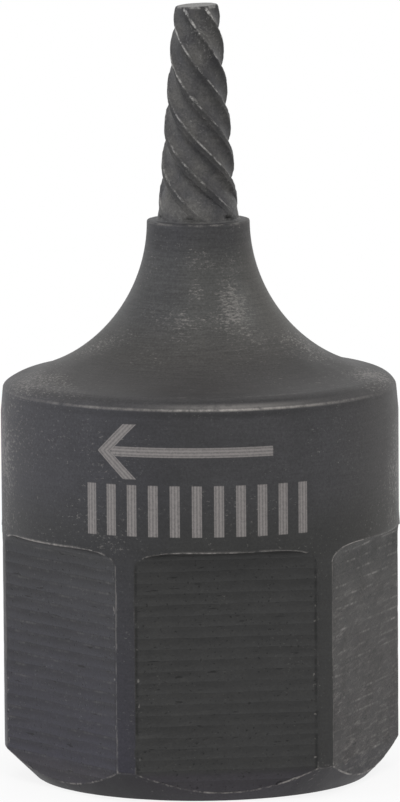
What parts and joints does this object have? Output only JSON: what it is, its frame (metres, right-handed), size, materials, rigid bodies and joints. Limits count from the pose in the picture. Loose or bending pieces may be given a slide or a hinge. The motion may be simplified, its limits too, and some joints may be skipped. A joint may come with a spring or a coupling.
{
  "type": "screw extractor",
  "caption": "Screw extractor bit with a hexagonal and square-drive body, a round band, a flared neck and a tapered tip with left-hand spiral flutes.",
  "frame": {"origin": "centre of the flat drive end, on which the tool stands", "axes": "+Z along the tool's axis from the drive end to the fluted tip, -Y through the middle of one flat of the hexagon, +X through a rounded corner"},
  "size_m": [0.0192, 0.0192, 0.0372],
  "materials": {
    "blackened_steel": "matte black oxide, worn bright along the edges"
  },
  "bodies": {
    "root": {"screw_extractor": "blackened_steel"}
  },
  "joints": []
}
